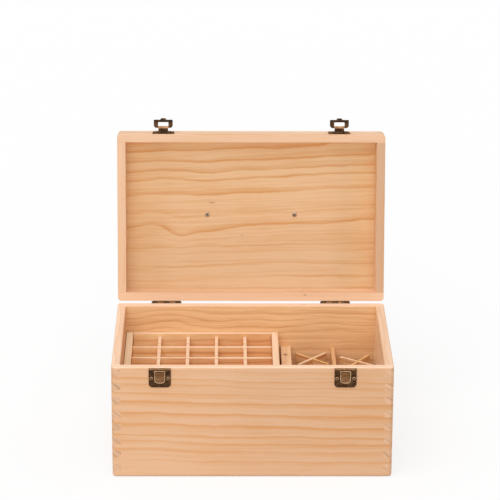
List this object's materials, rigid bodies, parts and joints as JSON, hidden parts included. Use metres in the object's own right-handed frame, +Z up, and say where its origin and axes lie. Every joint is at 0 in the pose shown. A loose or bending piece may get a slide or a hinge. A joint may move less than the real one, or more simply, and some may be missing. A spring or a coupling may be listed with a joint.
{
  "type": "essential oil storage box",
  "caption": "Hinged pine box with finger-jointed corners, stacked bottle trays, a tall-bottle compartment with crossed inserts, two hasp latches and a bow handle on the lid.",
  "frame": {"origin": "middle of the box's footprint, on the surface it stands on", "axes": "+Z up; +X to the right seen from the front; the latches look along -Y and the lid opens towards +Y"},
  "size_m": [0.32, 0.29, 0.3549],
  "materials": {
    "pine_board": "bare sanded pine",
    "pine_inside": "bare sanded pine, a shade warmer in the box",
    "antique_bronze": "dark antique bronze plating, rubbed at the edges",
    "antique_brass": "rubbed antique brass screw heads"
  },
  "bodies": {
    "box": {"bottom_panel": "pine_inside", "box_front_board": "pine_board", "box_back_board": "pine_board", "box_left_board": "pine_board", "box_right_board": "pine_board", "partition_board": "pine_inside", "tall_long_divider": "pine_inside", "tall_cross_divider_front": "pine_inside", "tall_cross_divider_back": "pine_inside", "hinge_left_leaf_box": "antique_bronze", "hinge_right_leaf_box": "antique_bronze", "hinge_left_pin": "antique_bronze", "hinge_right_pin": "antique_bronze", "catch_left": "antique_bronze", "catch_right": "antique_bronze", "catch_screw_1": "antique_brass", "catch_screw_2": "antique_brass", "catch_screw_3": "antique_brass", "catch_screw_4": "antique_brass"},
    "lid": {"lid_front_board": "pine_board", "lid_back_board": "pine_board", "lid_left_board": "pine_board", "lid_right_board": "pine_board", "lid_top_panel": "pine_board", "handle": "antique_bronze", "handle_screw_left": "antique_bronze", "handle_screw_right": "antique_bronze", "hinge_left_leaf_lid": "antique_bronze", "hinge_right_leaf_lid": "antique_bronze", "lid_plate_left": "antique_bronze", "lid_plate_right": "antique_bronze", "hasp_pin_left": "antique_bronze", "hasp_pin_right": "antique_bronze"},
    "hasp_left": {"hasp_left": "antique_bronze"},
    "hasp_right": {"hasp_right": "antique_bronze"},
    "lower_tray": {"lower_tray_end_left": "pine_inside", "lower_tray_end_right": "pine_inside", "lower_tray_rail_front": "pine_inside", "lower_tray_rail_back": "pine_inside", "lower_tray_long_divider_1": "pine_inside", "lower_tray_long_divider_2": "pine_inside", "lower_tray_long_divider_3": "pine_inside", "lower_tray_long_divider_4": "pine_inside", "lower_tray_cross_divider_1": "pine_inside", "lower_tray_cross_divider_2": "pine_inside", "lower_tray_cross_divider_3": "pine_inside", "lower_tray_cross_divider_4": "pine_inside"},
    "upper_tray": {"upper_tray_end_left": "pine_inside", "upper_tray_end_right": "pine_inside", "upper_tray_rail_front": "pine_inside", "upper_tray_rail_back": "pine_inside", "upper_tray_floor": "pine_inside", "upper_tray_grid": "pine_inside"},
    "cross_insert_1": {"cross_insert_1": "pine_inside"},
    "cross_insert_2": {"cross_insert_2": "pine_inside"},
    "cross_insert_3": {"cross_insert_3": "pine_inside"},
    "cross_insert_4": {"cross_insert_4": "pine_inside"},
    "cross_insert_5": {"cross_insert_5": "pine_inside"},
    "cross_insert_6": {"cross_insert_6": "pine_inside"}
  },
  "joints": [
    {"name": "lid_hinge", "type": "hinge", "parent": "box", "child": "lid", "pos_m": [0, 0.1029, 0.1363], "axis": [-1, 0, 0], "range_deg": [-100.4, 0]},
    {"name": "hasp_left_hinge", "type": "hinge", "parent": "lid", "child": "hasp_left", "pos_m": [-0.105, 0.14237, 0.3386], "axis": [-1, 0, 0], "range_deg": [-90, 70]},
    {"name": "hasp_right_hinge", "type": "hinge", "parent": "lid", "child": "hasp_right", "pos_m": [0.105, 0.14237, 0.3386], "axis": [-1, 0, 0], "range_deg": [-90, 70]},
    {"name": "lower_tray_lift", "type": "slide", "parent": "box", "child": "lower_tray", "axis": [0, 0, 1], "range_m": [0, 0.136]},
    {"name": "upper_tray_lift", "type": "slide", "parent": "lower_tray", "child": "upper_tray", "axis": [0, 0, 1], "range_m": [0, 0.065]},
    {"name": "cross_insert_1_lift", "type": "slide", "parent": "box", "child": "cross_insert_1", "axis": [0, 0, 1], "range_m": [0, 0.136]},
    {"name": "cross_insert_2_lift", "type": "slide", "parent": "box", "child": "cross_insert_2", "axis": [0, 0, 1], "range_m": [0, 0.136]},
    {"name": "cross_insert_3_lift", "type": "slide", "parent": "box", "child": "cross_insert_3", "axis": [0, 0, 1], "range_m": [0, 0.136]},
    {"name": "cross_insert_4_lift", "type": "slide", "parent": "box", "child": "cross_insert_4", "axis": [0, 0, 1], "range_m": [0, 0.136]},
    {"name": "cross_insert_5_lift", "type": "slide", "parent": "box", "child": "cross_insert_5", "axis": [0, 0, 1], "range_m": [0, 0.136]},
    {"name": "cross_insert_6_lift", "type": "slide", "parent": "box", "child": "cross_insert_6", "axis": [0, 0, 1], "range_m": [0, 0.136]}
  ]
}
